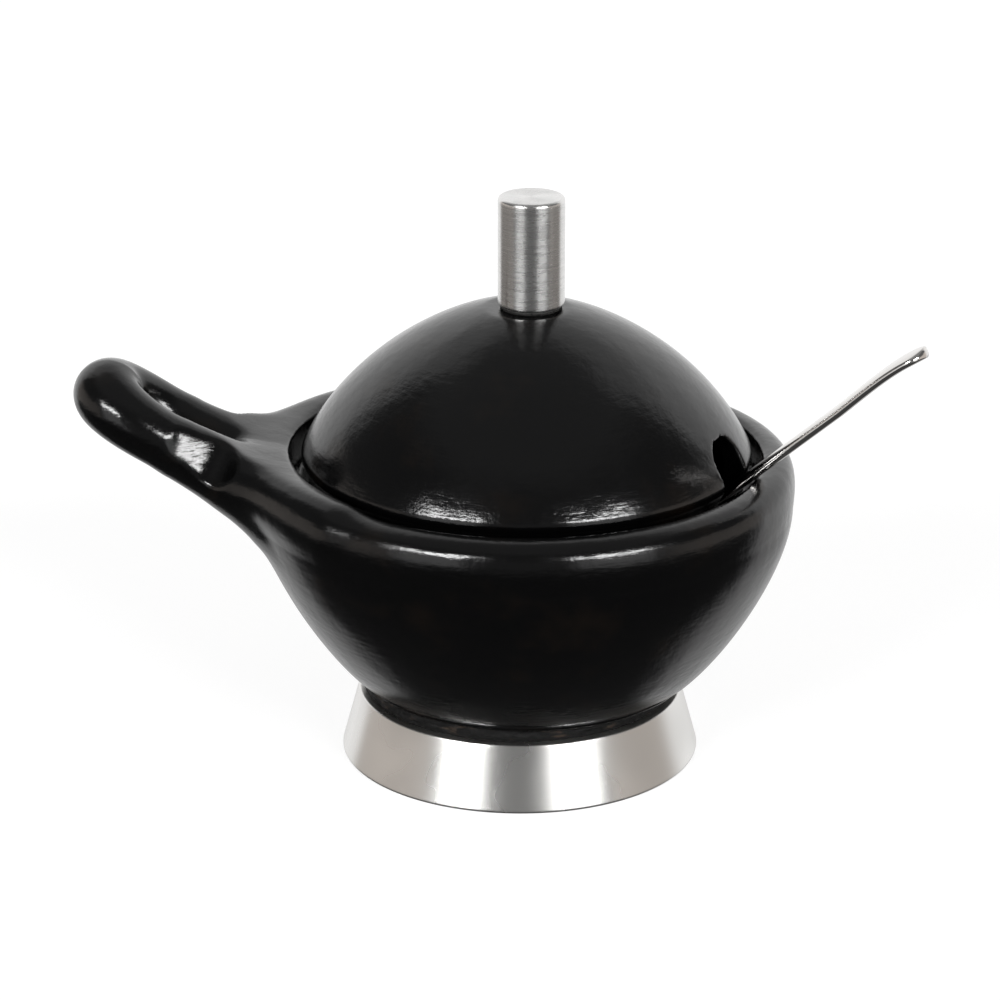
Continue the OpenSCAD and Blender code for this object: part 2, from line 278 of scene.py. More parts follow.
def rounded(corners, steps=6):
    """Outline through (radius, height, rounding) corners, closed, with rounded corners.

    A support point stands just off each rounding, so that flat faces shade flat.
    """
    points = []
    n = len(corners)
    for k, (r, z, rounding) in enumerate(corners):
        c = np.array([r, z])
        if rounding == 0:
            points.append(c)
            continue
        before = np.array(corners[k - 1][:2]) - c
        after = np.array(corners[(k + 1) % n][:2]) - c
        before = before / np.linalg.norm(before)
        after = after / np.linalg.norm(after)
        half = math.acos(np.clip(before @ after, -1, 1)) / 2
        reach = rounding / math.tan(half)
        support = reach + 0.5 * rounding
        middle = c + (before + after) / np.linalg.norm(before + after) * rounding / math.sin(half)
        a0 = math.atan2(*(c + before * reach - middle)[::-1])
        a1 = math.atan2(*(c + after * reach - middle)[::-1])
        turn = (a1 - a0 + math.pi) % (2 * math.pi) - math.pi
        points.append(c + before * support)
        for f in np.linspace(0, 1, steps + 1):
            points.append(middle + rounding * direction(a0 + turn * f))
        points.append(c + after * support)
    return np.array(points)


def lathe(outline, steps, axis_x, closed=True):
    """Points and faces of an outline turned about an upright axis at axis_x.

    A closed outline gives a ring; an open one starts and ends on the axis.
    """
    a = np.linspace(0, 2 * math.pi, steps, endpoint=False)
    r, z = outline[:, 0], outline[:, 1]
    points = np.stack([axis_x + np.outer(r, np.cos(a)), np.outer(r, np.sin(a)),
                       np.outer(z, np.ones(steps))], axis=2).reshape(-1, 3)
    n = len(outline)
    faces = []
    for i in range(n if closed else n - 1):
        k = (i + 1) % n
        for j in range(steps):
            m = (j + 1) % steps
            quad = [i * steps + j, i * steps + m, k * steps + m, k * steps + j]
            if not closed and i == 0:
                quad = [0, k * steps + m, k * steps + j]
            elif not closed and k == n - 1:
                quad = [i * steps + j, i * steps + m, k * steps]
            faces.append(quad)
    if not closed:
        used = np.unique(np.concatenate([np.array(f) for f in faces]))
        index = np.full(len(points), -1)
        index[used] = np.arange(len(used))
        faces = [[int(index[v]) for v in f] for f in faces]
        points = points[used]
    return points, faces


# ---- Materials ---------------------------------------------------------------

class Graph:
    """Short hand for building a node tree."""

    def __init__(self, tree):
        self.tree = tree

    def add(self, kind, inputs=None, **settings):
        node = self.tree.nodes.new(kind)
        for key, value in settings.items():
            setattr(node, key, value)
        for key, value in (inputs or {}).items():
            self.feed(node.inputs[key], value)
        return node

    def feed(self, socket, value):
        """Links a socket into an input, or sets the input's value."""
        if isinstance(value, bpy.types.NodeSocket):
            self.tree.links.new(value, socket)
        elif socket.type == "RGBA" and len(value) == 3:
            socket.default_value = (*value, 1)
        else:
            socket.default_value = value

    def math(self, operation, a, b=0.0):
        return self.add("ShaderNodeMath", {0: a, 1: b}, operation=operation).outputs[0]

    def both(self, a, b):
        return self.math("MULTIPLY", a, b)

    def between(self, x, low, high, soft):
        """1 where x lies between low and high, falling to 0 over soft outside."""
        up = self.ramp(x, low - soft, low, 0, 1)
        down = self.ramp(x, high, high + soft, 1, 0)
        return self.both(up, down)

    def ramp(self, x, x0, x1, y0, y1):
        """Smooth step of x from (x0, y0) to (x1, y1)."""
        node = self.add("ShaderNodeMapRange", {0: x, 1: x0, 2: x1, 3: y0, 4: y1},
                        interpolation_type="SMOOTHSTEP")
        return node.outputs[0]

    def noise(self, vector, scale, detail=2.0, roughness=0.5):
        """Noise with about scale lumps to the metre."""
        node = self.add("ShaderNodeTexNoise", {"Vector": vector, "Scale": scale, "Detail": detail,
                                               "Roughness": roughness})
        return node.outputs["Fac"]

    def stretched(self, vector, scale):
        return self.add("ShaderNodeMapping", {"Vector": vector, "Scale": scale}).outputs[0]

    def mix(self, factor, a, b):
        """Mixes two colours."""
        node = self.add("ShaderNodeMix", data_type="RGBA")
        for socket, value in zip((node.inputs[0], node.inputs[6], node.inputs[7]), (factor, a, b)):
            self.feed(socket, value)
        return node.outputs[2]

    def bump(self, height, strength, distance, normal=None):
        inputs = {"Height": height, "Strength": strength, "Distance": distance}
        if normal is not None:
            inputs["Normal"] = normal
        return self.add("ShaderNodeBump", inputs).outputs["Normal"]

    def is_ray(self, kind):
        """1 for rays of the named kind, such as Camera or Glossy."""
        return self.add("ShaderNodeLightPath").outputs[f"Is {kind} Ray"]

    def surface(self, inputs):
        """Adds the surface shader with its inputs, and the output node."""
        shader = self.add("ShaderNodeBsdfPrincipled", inputs)
        self.add("ShaderNodeOutputMaterial", {"Surface": shader.outputs[0]})


def grey(value):
    return (value, value, value)


def new_material(name):
    """An empty material with its graph and its object coordinates."""
    material = bpy.data.materials.new(name)
    material.use_nodes = True
    material.node_tree.nodes.clear()
    g = Graph(material.node_tree)
    coords = g.add("ShaderNodeTexCoord").outputs["Object"]
    return material, g, coords


def black_clay():
    """Burnished, smoke-fired clay: glossy black with rubbing strokes and fine grain."""
    soot = (0.0010, 0.0010, 0.0011)
    smoke_brown = (0.0034, 0.0024, 0.0018)
    material, g, coords = new_material("black_clay")
    patches = g.noise(coords, 45.0, 3.0)
    brown = g.ramp(g.noise(coords, 70.0, 4.0, 0.6), 0.52, 0.72, 0, 1)
    strokes = g.noise(g.stretched(coords, (1, 1, 7)), 160.0, 3.0, 0.6)
    dents = g.noise(coords, 190.0, 2.0)
    grain = g.noise(coords, 1500.0, 3.0, 0.65)
    grain_share = g.both(g.math("SUBTRACT", grain, 0.5), 0.12)
    normal = g.bump(dents, 0.2, 0.0006)
    normal = g.bump(strokes, 0.12, 0.0004, normal)
    normal = g.bump(grain, 0.16, 0.00018, normal)
    g.surface({"Base Color": g.mix(brown, soot, smoke_brown), "IOR": 1.47, "Normal": normal,
               "Roughness": g.math("ADD", g.ramp(patches, 0.3, 0.7, 0.12, 0.18), grain_share)})
    return material


def turned_surface(g, colour, roughness, anisotropy, normal):
    """Metal whose finest lines run round the upright axis."""
    tangent = g.add("ShaderNodeTangent", direction_type="RADIAL", axis="Z").outputs[0]
    g.surface({"Base Color": colour, "Metallic": 1.0, "Roughness": roughness,
               "Anisotropic": anisotropy, "Anisotropic Rotation": 0.25, "Tangent": tangent,
               "Normal": normal})


def satin_metal():
    """Spun and polished metal with fine lines running round it."""
    material, g, coords = new_material("satin_metal")
    lines = g.noise(g.stretched(coords, (0.2, 0.2, 14)), 60.0, 2.0, 0.5)
    cloud = g.noise(coords, 50.0, 2.0)
    colour = g.mix(g.ramp(cloud, 0.35, 0.7, 0, 1), (0.80, 0.79, 0.77), (0.72, 0.71, 0.69))
    roughness = g.ramp(cloud, 0.3, 0.7, 0.25, 0.32)
    turned_surface(g, colour, roughness, 0.6, g.bump(lines, 0.1, 0.0001))
    return material


def turned_metal():
    """Bar stock turned on a lathe: faint grooves and duller streaks round it."""
    material, g, coords = new_material("turned_metal")
    grooves = g.noise(g.stretched(coords, (0.5, 0.5, 16)), 110.0, 3.0, 0.6)
    streaks = g.noise(g.stretched(coords, (1, 1, 6)), 260.0, 3.0, 0.6)
    colour = g.mix(g.ramp(streaks, 0.3, 0.75, 0, 1), (0.80, 0.79, 0.78), (0.71, 0.71, 0.70))
    roughness = g.ramp(streaks, 0.3, 0.75, 0.24, 0.31)
    turned_surface(g, colour, roughness, 0.75, g.bump(grooves, 0.13, 0.00012))
    return material


def spoon_steel():
    """Polished stainless steel with hairline wear."""
    material, g, coords = new_material("spoon_steel")
    wear = g.noise(g.stretched(coords, (0.3, 1, 1)), 900.0, 4.0, 0.7)
    g.surface({"Base Color": (0.76, 0.74, 0.72), "Metallic": 1.0,
               "Roughness": g.ramp(wear, 0.35, 0.75, 0.07, 0.18),
               "Normal": g.bump(wear, 0.05, 0.0001)})
    return material


def fixing_steel():
    """Plain zinc-grey steel of the screw and its washer."""
    material, g, coords = new_material("fixing_steel")
    cloud = g.noise(coords, 400.0, 4.0, 0.6)
    g.surface({"Base Color": g.mix(cloud, (0.62, 0.63, 0.64), (0.42, 0.42, 0.40)),
               "Metallic": 1.0, "Roughness": g.ramp(cloud, 0.3, 0.7, 0.28, 0.45),
               "Normal": g.bump(cloud, 0.1, 0.0001)})
    return material


def soft_washer():
    """Dark fibre washer."""
    material, g, coords = new_material("soft_washer")
    fibres = g.noise(coords, 1800.0, 4.0, 0.7)
    g.surface({"Base Color": g.mix(fibres, grey(0.02), (0.06, 0.058, 0.055)),
               "Roughness": 0.8, "Normal": g.bump(fibres, 0.4, 0.0002)})
    return material


def setting_compound():
    """Rough black compound with clay dust in it."""
    material, g, coords = new_material("setting_compound")
    lumps = g.noise(g.stretched(coords, (1, 1, 3)), 420.0, 4.0, 0.65)
    dust = g.ramp(g.noise(g.stretched(coords, (1, 1, 4)), 200.0, 3.0, 0.6), 0.58, 0.74, 0, 1)
    g.surface({"Base Color": g.mix(dust, grey(0.004), (0.040, 0.028, 0.020)),
               "Roughness": g.ramp(lumps, 0.3, 0.7, 0.5, 0.85), "Specular IOR Level": 0.25,
               "Normal": g.bump(lumps, 0.7, 0.0006)})
    return material


# ---- Bowl and handle ---------------------------------------------------------

def rim_curve(steps):
    """The rim's inner edge, from its crest into the mouth."""
    crest = np.array([CREST_R, CREST_Z])
    mouth = np.array([MOUTH_R, MOUTH_Z])
    return cubic([crest, crest - [0.8, 0], mouth + [0, 0.7], mouth], steps)


def bowl_outline():
    """Outside of the bowl, from the middle of its underside to the axis over its rim."""
    foot_hollow = [[0, BASE_Z - 0.9], [23, BASE_Z - 0.9]]
    foot_rim = [[24, CLAY_FOOT_Z], [CLAY_FOOT_R, CLAY_FOOT_Z], [CLAY_FOOT_R, BASE_Z]]
    lip_foot = np.array([LIP_R - 0.7, BASE_Z])
    lip_top = np.array([LIP_R - 0.35, BASE_Z + 1.6])
    wall = np.array([LIP_R + 2.2, BASE_Z + 2.25])
    belly = np.array([BELLY_R, CREST_Z - 10.2])
    crest = np.array([CREST_R, CREST_Z])
    return chain(
        foot_hollow,
        foot_rim,
        cubic([lip_foot, lip_foot + [0.85, 0], lip_foot + [0.95, 0.7], lip_top], 14),
        cubic([lip_top, lip_top + [-0.25, 0.4], lip_top + [1.05, 0.3], wall], 12),
        cubic([wall, wall + [7.75, 7.35], belly - [0, 9.5], belly], 60),
        cubic([belly, belly + [0.5, 5.2], crest + [5.8, 0], crest], 50),
        rim_curve(10),
        [[0, MOUTH_Z]])


def hollow_outline():
    """Inside of the bowl, with the ledge for the lid, open far above the rim."""
    hollow_r = MOUTH_R - 0.2
    turn = FLOOR_Z + 23.5
    chamfer = 0.8
    open_z = CREST_Z + 20
    return chain(
        cubic([[0, FLOOR_Z], [28, FLOOR_Z], [hollow_r, FLOOR_Z + 14], [hollow_r, turn]], 50),
        cubic([[hollow_r, turn], [hollow_r, turn + 5], [LEDGE_R + 3, LEDGE_Z - 3.6],
               [LEDGE_R, LEDGE_Z - 3]], 20),
        [[LEDGE_R, LEDGE_Z], [MOUTH_R - chamfer, LEDGE_Z], [MOUTH_R, LEDGE_Z + chamfer],
         [MOUTH_R, open_z], [0, open_z]])


# Centre lines of one side of the handle, each from its root to its end, and the clay's
# radius at both ends. The other side is their mirror image. WAIST is where the loop and
# its two roots meet, and WAIST_LEAN is the way the arm runs there.
TIP_R = 6.9
TIP_X = BOWL_LOW[0] + TIP_R - BOWL_X
TIP_Z = BOWL_HIGH[2] - TIP_R
WAIST = np.array([-67.7, -7.3, 65.6])
WAIST_LEAN = np.array([-0.859, -0.098, 0.502])
WAIST_R = 5.4
LOW_ROOT_R = 8.8
RIM_ROOT_R = 4.5
LOOP = [WAIST, WAIST + 12.1 * WAIST_LEAN, [TIP_X, -4.7, TIP_Z], [TIP_X, 0, TIP_Z]]
LOW_ROOT = [[-49, -10.6, 57], [-56.5, -9.3, 60.4], WAIST - 9.7 * WAIST_LEAN, WAIST]
RIM_ROOT = [[-36.8, -33.1, 58.3], [-46.2, -22.7, 60.2], WAIST - 16 * WAIST_LEAN, WAIST]
COILS = ((LOOP, WAIST_R, TIP_R), (LOW_ROOT, LOW_ROOT_R, WAIST_R), (RIM_ROOT, RIM_ROOT_R, WAIST_R))

# The flat that the thumb pressed into the outer side of each arm: which way it faces,
# how far it lies off the waist and behind it, and its length and bend along the arm.
THUMB_FACING = np.array([0.327, -0.865, 0.381])
THUMB_OUT = 5.05
THUMB_BACK = 1.1
THUMB_LENGTH = 5.4
THUMB_BEND_R = 62
THUMB_EDGE = 0.3

# The slab of clay between the two roots.
WEB_MIDDLE = (-50.5, 0, 58.2)
WEB_HALF = (5, 9, 0.5)
WEB_R = 4.4
WEB_TILT = 24

# Fillets where the coils, the web and the bowl flow together.
ROOT_BLEND = 0.8
WEB_BLEND = 1.2
HANDLE_BLEND = 2.5


def coil_field(q, line, start_r, end_r):
    """Distance to a round coil of clay along a curve, for points on the near side."""
    controls = np.array(line, float)
    a, b, c, d = controls
    tries = 12
    least_bottom = 150
    gap = np.stack([np.sum((q - point) ** 2, axis=1) for point in cubic(line, tries)])
    t = np.linspace(0, 1, tries + 1)[np.argmin(gap, axis=0)]
    for _ in range(5):
        s = t[:, None]
        u = 1 - s
        first = 3 * (u * u * (b - a) + 2 * u * s * (c - b) + s * s * (d - c))
        second = 6 * (u * (c - 2 * b + a) + s * (d - 2 * c + b))
        away = q - curve_point(controls, s)
        top = np.sum(away * first, axis=1)
        bottom = np.sum(first**2, axis=1) - np.sum(away * second, axis=1)
        t = np.clip(t + top / np.maximum(bottom, least_bottom), 0, 1)
    away = q - curve_point(controls, t[:, None])
    return np.linalg.norm(away, axis=1) - start_r - (end_r - start_r) * t


def thumb_field(q):
    """Height over the flat on the near arm. Away from its middle the flat runs out."""
    d = q - WAIST
    along = d @ WAIST_LEAN + THUMB_BACK
    runs_out = (along / THUMB_LENGTH) ** 4 - along**2 / (2 * THUMB_BEND_R)
    return d @ THUMB_FACING - THUMB_OUT - runs_out


def web_field(q):
    """Distance to the web, with fully rounded edges."""
    a = np.radians(WEB_TILT)
    d = q - np.array(WEB_MIDDLE)
    local = np.stack([-d[:, 0] * np.cos(a) + d[:, 2] * np.sin(a), d[:, 1],
                      d[:, 0] * np.sin(a) + d[:, 2] * np.cos(a)], axis=1)
    over = np.abs(local) - WEB_HALF
    outside = np.linalg.norm(np.maximum(over, 0), axis=1)
    return outside + np.minimum(np.max(over, axis=1), 0) - WEB_R


def scraped_height(r):
    """How high the handle may stand at a distance from the axis, so that the lid seats."""
    below_crest = 0.8
    rise = 0.45
    curl = 0.03
    curl_from_r = 54
    return (CREST_Z - below_crest + rise * (r - MOUTH_R)
            + curl * np.maximum(r - curl_from_r, 0) ** 2)


def handle_field(p):
    """Loop, roots and web. Towards the mouth they are scraped down to the rim's height."""
    q = p.copy()
    q[:, 1] = -np.abs(q[:, 1])
    loop, low_root, rim_root = (coil_field(q, *coil) for coil in COILS)
    solid = join(np.minimum(loop, low_root), rim_root, ROOT_BLEND)
    solid = join(solid, web_field(p), WEB_BLEND)
    solid = keep_both(solid, thumb_field(q), THUMB_EDGE)
    r = np.hypot(p[:, 0], p[:, 1])
    scrape_edge = 0.6
    return keep_both(solid, 0.9 * (p[:, 2] - scraped_height(r)), scrape_edge)


def build_bowl(material):
    outer = Profile(bowl_outline())
    hollow = Profile(hollow_outline())
    handle_from_x = -20
    handle_from_z = 30
    rim_edge = 0.35

    def field(p):
        q = p - [BOWL_X, 0, 0]
        r = np.hypot(q[:, 0], q[:, 1])
        solid = outer(r, q[:, 2])
        near = (q[:, 0] < handle_from_x) & (q[:, 2] > handle_from_z)
        if near.any():
            solid[near] = join(solid[near], handle_field(q[near]), HANDLE_BLEND)
        solid = keep_both(solid, -hollow(r, q[:, 2]), rim_edge)
        return solid - 0.07 * unevenness(q, 26, 3)

    voxel = 0.75
    low = np.minimum(BOWL_LOW, [TIP_X - 8, -60, 0])
    high = np.maximum(BOWL_HIGH, [55, 60, TIP_Z + 8])
    *shape, normals = field_mesh(field, low, high, voxel)
    add_piece("clay_bowl", shape, material, "vessel", "bowl", normals)


# ---- Lid ---------------------------------------------------------------------

NOTCH_W = 11.2
NOTCH_TOP_Z = 70.7
NOTCH_CORNER_R = 4.6
NOTCH_TURN = -23
NOTCH_EDGE = 0.3


def lid_outline():
    """Outside of the lid: dome, small round edge, then a tuck down to the ledge."""
    skirt_r = LID_R - 1.5
    crown = 15.6
    shoulder = 19.3
    tilt = np.radians(LID_EDGE_TILT)
    middle = np.array([LID_R - LID_EDGE_R, LID_EDGE_Z])
    edge = middle + LID_EDGE_R * direction(tilt)
    up_the_dome = edge - shoulder * np.array([math.sin(tilt), -math.cos(tilt)])
    return chain(
        cubic([[0, DOME_Z], [crown, DOME_Z], up_the_dome, edge], 80),
        arc(middle, LID_EDGE_R, LID_EDGE_TILT, -38, 14),
        [[skirt_r, LID_EDGE_Z - 4], [skirt_r, LEDGE_Z + 0.5], [skirt_r - 0.5, LEDGE_Z],
         [0, LEDGE_Z]])


def lid_hollow_outline():
    """Inside of the lid, open far below it."""
    inner_r = LID_R - LID_WALL
    top = DOME_Z - LID_WALL
    open_z = LEDGE_Z - 12
    return chain(
        cubic([[0, top], [17, top], [inner_r, LID_EDGE_Z + 8], [inner_r, LID_EDGE_Z]], 60),
        [[inner_r, open_z], [0, open_z]])


def notch_field(q):
    """Distance to the doorway that the spoon passes through."""
    a = np.radians(NOTCH_TURN)
    out = q[:, 0] * np.cos(a) + q[:, 1] * np.sin(a)
    side = np.abs(-q[:, 0] * np.sin(a) + q[:, 1] * np.cos(a))
    du = side - (NOTCH_W / 2 - NOTCH_CORNER_R)
    dv = q[:, 2] - (NOTCH_TOP_Z - NOTCH_CORNER_R)
    corner = np.hypot(np.maximum(du, 0), np.maximum(dv, 0)) + np.minimum(np.maximum(du, dv), 0)
    return np.maximum(corner - NOTCH_CORNER_R, LID_R / 2 - out)


def build_lid(material):
    """Lid with a flat seat for the knob on top, one for the washer inside, and the hole."""
    outer = Profile(lid_outline())
    hollow = Profile(lid_hollow_outline())
    seat_edge = 0.08
    hollow_edge = 0.2
    inner_seat_r = 8.5
    inner_seat_z = SEAT_Z - 5.6
    inner_seat_depth = 5

    def field(p):
        q = p - [LID_X, 0, 0]
        z = q[:, 2]
        r = np.hypot(q[:, 0], q[:, 1])
        from_knob = np.hypot(p[:, 0] - KNOB_X, p[:, 1])
        solid = keep_both(outer(r, z), z - SEAT_Z, seat_edge)
        inner_seat = np.maximum(from_knob - inner_seat_r, z - inner_seat_z)
        inner_seat = np.maximum(inner_seat, inner_seat_z - inner_seat_depth - z)
        solid = keep_both(solid, -np.minimum(hollow(r, z), inner_seat), hollow_edge)
        solid = np.maximum(solid, SCREW_HOLE_R - from_knob)
        solid = keep_both(solid, -notch_field(q), NOTCH_EDGE)
        return solid - 0.05 * unevenness(q, 24, 5)

    voxel = 0.65
    *shape, normals = field_mesh(field, LID_LOW, LID_HIGH, voxel)
    add_piece("clay_lid", shape, material, "lid_assembly", "lid", normals)


# ---- Metal parts and compound ------------------------------------------------

def build_foot_ring(material):
    outer_edge = 0.45
    inner_edge = 0.3
    outline = rounded([
        (FOOT_R, 0, outer_edge),
        (FOOT_TOP_R, FOOT_H, outer_edge),
        (FOOT_TOP_R - FOOT_WALL, FOOT_H, inner_edge),
        (FOOT_R - FOOT_WALL, 0, inner_edge)])
    shape = lathe(outline, 240, 0)
    add_piece("foot_ring_spun", shape, material, "vessel", "foot_ring")


def build_bond(material):
    """Bead of setting compound, with the lumps that a spatula leaves."""
    low, top = BOND_LOW[2], BOND_HIGH[2]
    gap_r = FOOT_TOP_R - FOOT_WALL - 0.02
    bead_r = FOOT_TOP_R - 0.8
    smear = 0.2
    outline = chain(
        [[CLAY_FOOT_R, low], [gap_r, low], [gap_r, FOOT_H - 0.4]],
        cubic([[gap_r, FOOT_H], [bead_r, FOOT_H], [bead_r + smear, FOOT_H + 1],
               [bead_r, top]], 14),
        [[CLAY_FOOT_R, top]])
    steps = 420
    points, faces = lathe(outline, steps, 0)
    outline_r = np.repeat(outline[:, 0], steps)
    bulges = outline_r > gap_r + smear
    lumps = 0.2 * unevenness(points, 5, 11) + 0.16 * unevenness(points, 1.6, 12)
    scale = 1 + np.where(bulges, lumps - smear, 0) / np.hypot(points[:, 0], points[:, 1])
    points[:, 0] *= scale
    points[:, 1] *= scale
    points[:, 0] += np.where(outline_r <= CLAY_FOOT_R, BOWL_X, 0)
    shape = points, faces
    add_piece("bond_bead", shape, material, "vessel", "foot_bond")


def build_knob(material):
    """Solid knob with rounded edges and the screw's blind hole, drilled to a cone."""
    low, top = KNOB_LOW[2], KNOB_HIGH[2]
    edge = 0.75
    hole_r = 2.05
    hole_top = low + 11
    cone_h = 0.6
    outline = rounded([
        (0, hole_top, 0), (hole_r, hole_top - cone_h, 0.1), (hole_r, low, 0.15),
        (KNOB_R, low, edge), (KNOB_R, top, edge), (0, top, 0)], 8)
    shape = lathe(outline, 160, KNOB_X, closed=False)
    add_piece("knob_turned", shape, material, "lid_assembly", "knob")


def build_cushion(material):
    low, high = CUSHION_LOW[2], CUSHION_HIGH[2]
    r = CUSHION_HIGH[1]
    hole_r = 2.2
    edge = 0.3
    hole_edge = 0.1
    outline = rounded([(hole_r, low, hole_edge), (r, low, edge), (r, high, edge),
                       (hole_r, high, hole_edge)], 4)
    shape = lathe(outline, 96, KNOB_X)
    add_piece("cushion_ring", shape, material, "lid_assembly", "knob_cushion")


# ---- Spoon -------------------------------------------------------------------

# The stem lies on the rim, along the spoon's joint. Places on the spoon's middle line
# are in the upright plane through it: distance from the bowl's axis, then height.
SPOON_AXIS = joint_axis("spoon_draw")
SPOON_RISE = math.asin(SPOON_AXIS[2])
SPOON_TURN = math.atan2(SPOON_AXIS[1], SPOON_AXIS[0])
SPOON_LEAN = direction(SPOON_RISE)
SPOON_SIDES = 40
STEM_T = 2.1
NECK_W = 3.6
END_W = 8.4
REST_GAP = 0.12
SCOOP_R = 12
SCOOP_SPHERE_R = 15
SCOOP_T = 1.2
SCOOP_GAP = 0.4
SCOOP_TILT = math.radians(24)
SCOOP_ALONG = direction(SCOOP_TILT)
SCOOP_UP = np.array([-math.sin(SCOOP_TILT), math.cos(SCOOP_TILT)])
SCOOP_SINK = math.sqrt(SCOOP_SPHERE_R**2 - SCOOP_R**2)


def stem_rest():
    """Middle of the stem where it passes over the rim."""
    return rim_curve(2)[1] + [0, REST_GAP + STEM_T / 2 / math.cos(SPOON_RISE)]


def scoop_mouth(rest):
    """Middle of the scoop's open face, with the scoop just clear of the floor."""
    mouth_z = FLOOR_Z + SCOOP_GAP + SCOOP_SPHERE_R - SCOOP_SINK * math.cos(SCOOP_TILT)
    back_z = mouth_z + SCOOP_R * math.sin(SCOOP_TILT)
    back_s = rest[0] - (rest[1] - back_z) / math.tan(SPOON_RISE)
    return np.array([back_s, back_z]) - SCOOP_R * SCOOP_ALONG


def stem_line(rest, mouth):
    """Middle line of the stem, from its end down to the scoop."""
    tip = rest + [33.3, 28.4]
    tip_lean = direction(math.radians(25))
    bend = rest + 22.4 * SPOON_LEAN
    bend_lean = direction(math.radians(43.5))
    straight_end = rest - 36 * SPOON_LEAN
    neck = mouth + (SCOOP_R - 0.5) * SCOOP_ALONG
    return chain(
        cubic([tip, tip - 6 * tip_lean, bend + 8 * bend_lean, bend], 60),
        np.linspace(bend, straight_end, 60),
        cubic([straight_end, straight_end - 4 * SPOON_LEAN, neck + 3 * SCOOP_ALONG, neck], 24))


def scoop_line(mouth):
    """Middle line through the scoop to its front, set closer towards the edges."""
    places = SCOOP_R * np.sin(np.radians(np.linspace(72, -90, 70)))
    return mouth + places[1:, None] * SCOOP_ALONG


def half_widths(length, stem_length, offset, in_scoop):
    """Half of the width along the line: rounded end, taper, neck and round scoop.

    length runs from the stem's end; offset is the place along the scoop, from its middle.
    """
    taper_to = 0.35
    end_round = 4.2
    fade_from, fade_over = -2, 8
    blend = 0.9
    share = 1 - np.clip(length / stem_length, 0, 1)
    widening = np.clip((share - taper_to) / (1 - taper_to), 0, 1) ** 1.3
    stem = (NECK_W + (END_W - NECK_W) * widening) / 2
    to_end = np.clip(1 - length / end_round, 0, 1)
    stem = stem * np.sqrt(np.clip(1 - to_end**2.2, 0.0004, 1))
    stem = stem * np.clip((offset - fade_from) / fade_over, 0, 1)
    scoop = np.sqrt(np.clip(SCOOP_R**2 - offset**2, 0, None)) * in_scoop * (offset < SCOOP_R)
    alike = 1 - np.clip(np.abs(scoop - stem) / (4 * blend), 0, 1)
    return blend * np.logaddexp(scoop / blend, stem / blend) - blend * math.log(2) * alike


def spoon_sections(half, offset):
    """Sideways place and height of each section's points, dished where the scoop is."""
    smooth = 17
    dish_edge = 0.4
    thin_below = 1.2
    thick = np.where(offset < SCOOP_R, SCOOP_T, STEM_T)
    thick = np.convolve(np.pad(thick, smooth // 2, mode="edge"), np.ones(smooth) / smooth, "valid")
    a = np.linspace(0, 2 * math.pi, SPOON_SIDES, endpoint=False)
    c, s = np.cos(a), np.sin(a)
    side = half[:, None] * np.sign(c) * np.abs(c) ** 0.7
    tall = np.sign(s) * np.abs(s) ** 0.75
    from_middle = offset[:, None] ** 2 + side**2
    depth = np.sqrt(np.clip(SCOOP_SPHERE_R**2 - from_middle, 1, None)) - SCOOP_SINK
    depth = np.where(offset[:, None] < SCOOP_R + 6, depth, -9)
    dish = -dish_edge * np.logaddexp(0, depth / dish_edge)
    thinning = np.clip(half / thin_below, 0.3, 1)[:, None]
    return side, thick[:, None] / 2 * tall * thinning + dish


def build_spoon(material):
    """One sheet-like piece: rounded end, flat stem, neck and dished scoop."""
    rest = stem_rest()
    mouth = scoop_mouth(rest)
    stem = stem_line(rest, mouth)
    line = chain(stem, scoop_line(mouth))
    length = np.concatenate([[0], np.cumsum(np.linalg.norm(np.diff(line, axis=0), axis=1))])
    offset = (line - mouth) @ SCOOP_ALONG
    in_scoop = np.abs((line - mouth) @ SCOOP_UP) < 3
    half = half_widths(length, length[len(stem) - 1], offset, in_scoop)
    side, height = spoon_sections(half, offset)

    tangent = np.gradient(line, length, axis=0)
    tangent /= np.linalg.norm(tangent, axis=1)[:, None]
    across = np.stack([tangent[:, 1], -tangent[:, 0]], axis=1)
    across *= np.sign(across[:, 1])[:, None]
    out = line[:, None, 0] + height * across[:, None, 0]
    z = line[:, None, 1] + height * across[:, None, 1]
    x = BOWL_X + out * math.cos(SPOON_TURN) - side * math.sin(SPOON_TURN)
    y = out * math.sin(SPOON_TURN) + side * math.cos(SPOON_TURN)
    points = np.stack([x, y, z], axis=2).reshape(-1, 3)

    n = SPOON_SIDES
    last = len(line) - 1
    faces = [[i * n + (j + 1) % n, i * n + j, (i + 1) * n + j, (i + 1) * n + (j + 1) % n]
             for i in range(last) for j in range(n)]
    faces.append(list(range(n)))
    faces.append([last * n + j for j in reversed(range(n))])
    shape = points, faces
    add_piece("spoon_pressed", shape, material, "loose_spoon", "spoon")


# ---- Studio ------------------------------------------------------------------

# Left and right edges of the two softboxes, as azimuths in degrees. They stand between
# two elevations, with a dim panel under each.
SOFTBOXES = ((-54, -25), (22, 53))
SOFTBOX_FROM = 20.5
SOFTBOX_TO = 26.5
SOFTBOX_LIGHT = 30
PANEL_LIGHT = 1.2


